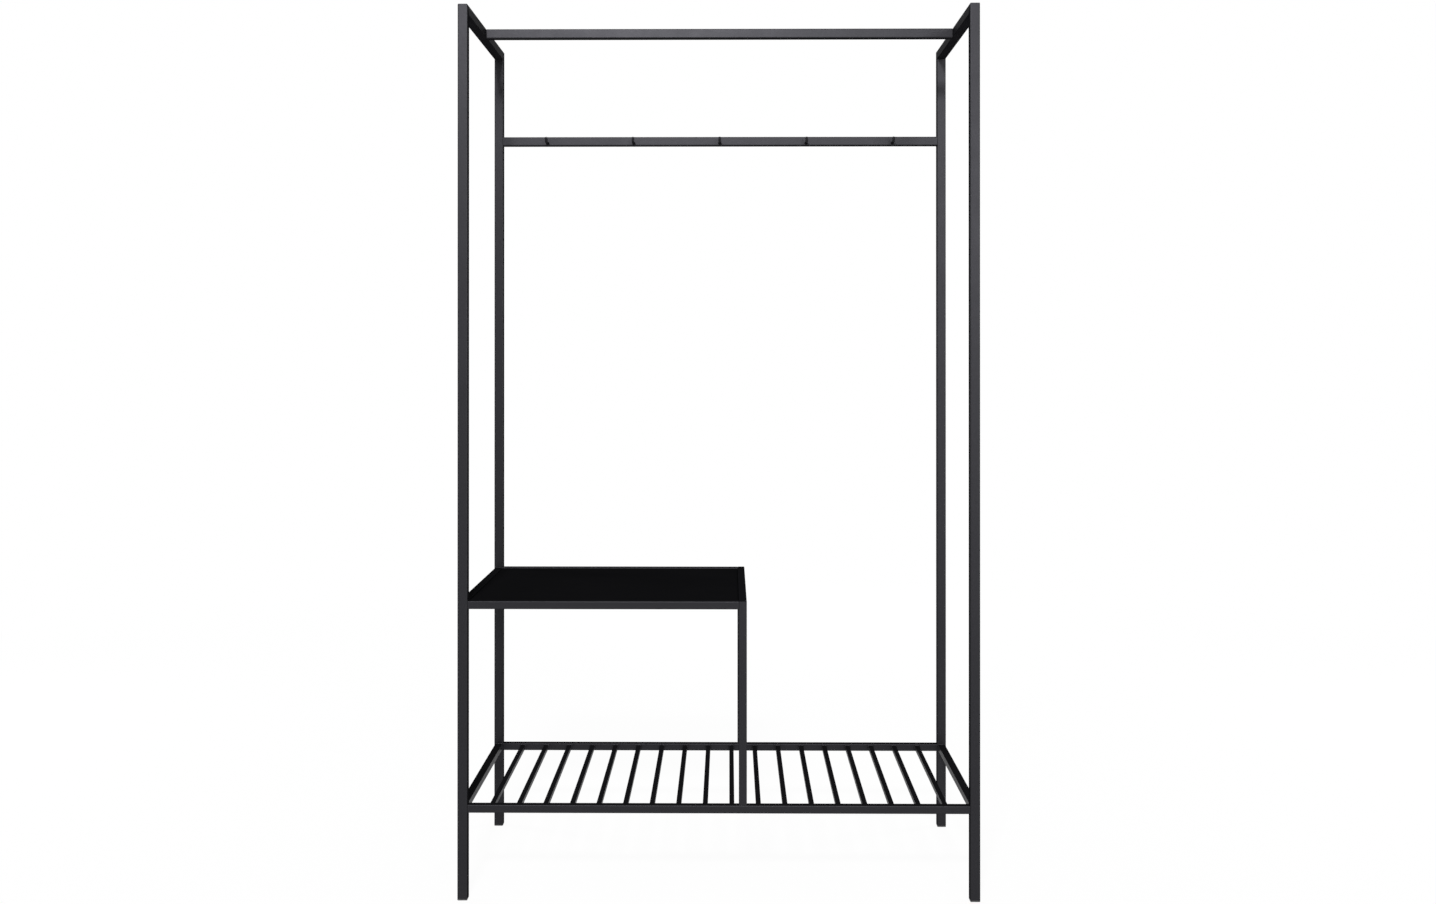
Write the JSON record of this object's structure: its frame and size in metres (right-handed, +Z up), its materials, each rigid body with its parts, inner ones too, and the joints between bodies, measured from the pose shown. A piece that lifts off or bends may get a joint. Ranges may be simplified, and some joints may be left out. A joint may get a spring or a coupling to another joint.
{
  "type": "clothes rack with shelves",
  "caption": "Free-standing clothes rack of square steel tube with a hanging bar, a rail of coat hooks, a raised plate shelf over one side and a slatted shelf below.",
  "frame": {"origin": "on the floor, under the middle of the outline of the four posts", "axes": "+X to the right as seen from the front, +Y to the back, +Z up"},
  "size_m": [1.048, 0.45, 1.8],
  "materials": {
    "black_powder_coat": "satin black powder coat with a fine texture",
    "shelf_plate_coat": "smooth semi-gloss black powder coat",
    "foot_plastic": "moulded black plastic",
    "bolt_steel": "blackened steel",
    "plug_steel": "bare machined steel"
  },
  "bodies": {
    "root": {"coat_hooks": "black_powder_coat", "divider_back_post": "black_powder_coat", "divider_bolts": "bolt_steel", "divider_front_post": "black_powder_coat", "divider_top_rail": "black_powder_coat", "frame_tube_plugs": "plug_steel", "hanging_bar": "black_powder_coat", "hanging_bar_bolts": "bolt_steel", "hook_rail": "black_powder_coat", "left_back_foot": "foot_plastic", "left_back_post": "black_powder_coat", "left_bottom_side_rail": "black_powder_coat", "left_front_foot": "foot_plastic", "left_front_post": "black_powder_coat", "left_raised_side_rail": "black_powder_coat", "left_top_rail": "black_powder_coat", "post_bolts": "bolt_steel", "raised_shelf_back_rail": "black_powder_coat", "raised_shelf_front_rail": "black_powder_coat", "raised_shelf_plate": "shelf_plate_coat", "right_back_foot": "foot_plastic", "right_back_post": "black_powder_coat", "right_bottom_side_rail": "black_powder_coat", "right_front_foot": "foot_plastic", "right_front_post": "black_powder_coat", "right_top_rail": "black_powder_coat", "shelf_tube_plugs": "plug_steel", "slat_01": "black_powder_coat", "slat_02": "black_powder_coat", "slat_03": "black_powder_coat", "slat_04": "black_powder_coat", "slat_05": "black_powder_coat", "slat_06": "black_powder_coat", "slat_07": "black_powder_coat", "slat_08": "black_powder_coat", "slat_09": "black_powder_coat", "slat_10": "black_powder_coat", "slat_11": "black_powder_coat", "slat_12": "black_powder_coat", "slat_13": "black_powder_coat", "slat_14": "black_powder_coat", "slat_15": "black_powder_coat", "slat_16": "black_powder_coat", "slat_17": "black_powder_coat", "slat_18": "black_powder_coat", "slatted_shelf_back_rail": "black_powder_coat", "slatted_shelf_front_rail": "black_powder_coat"}
  },
  "joints": []
}
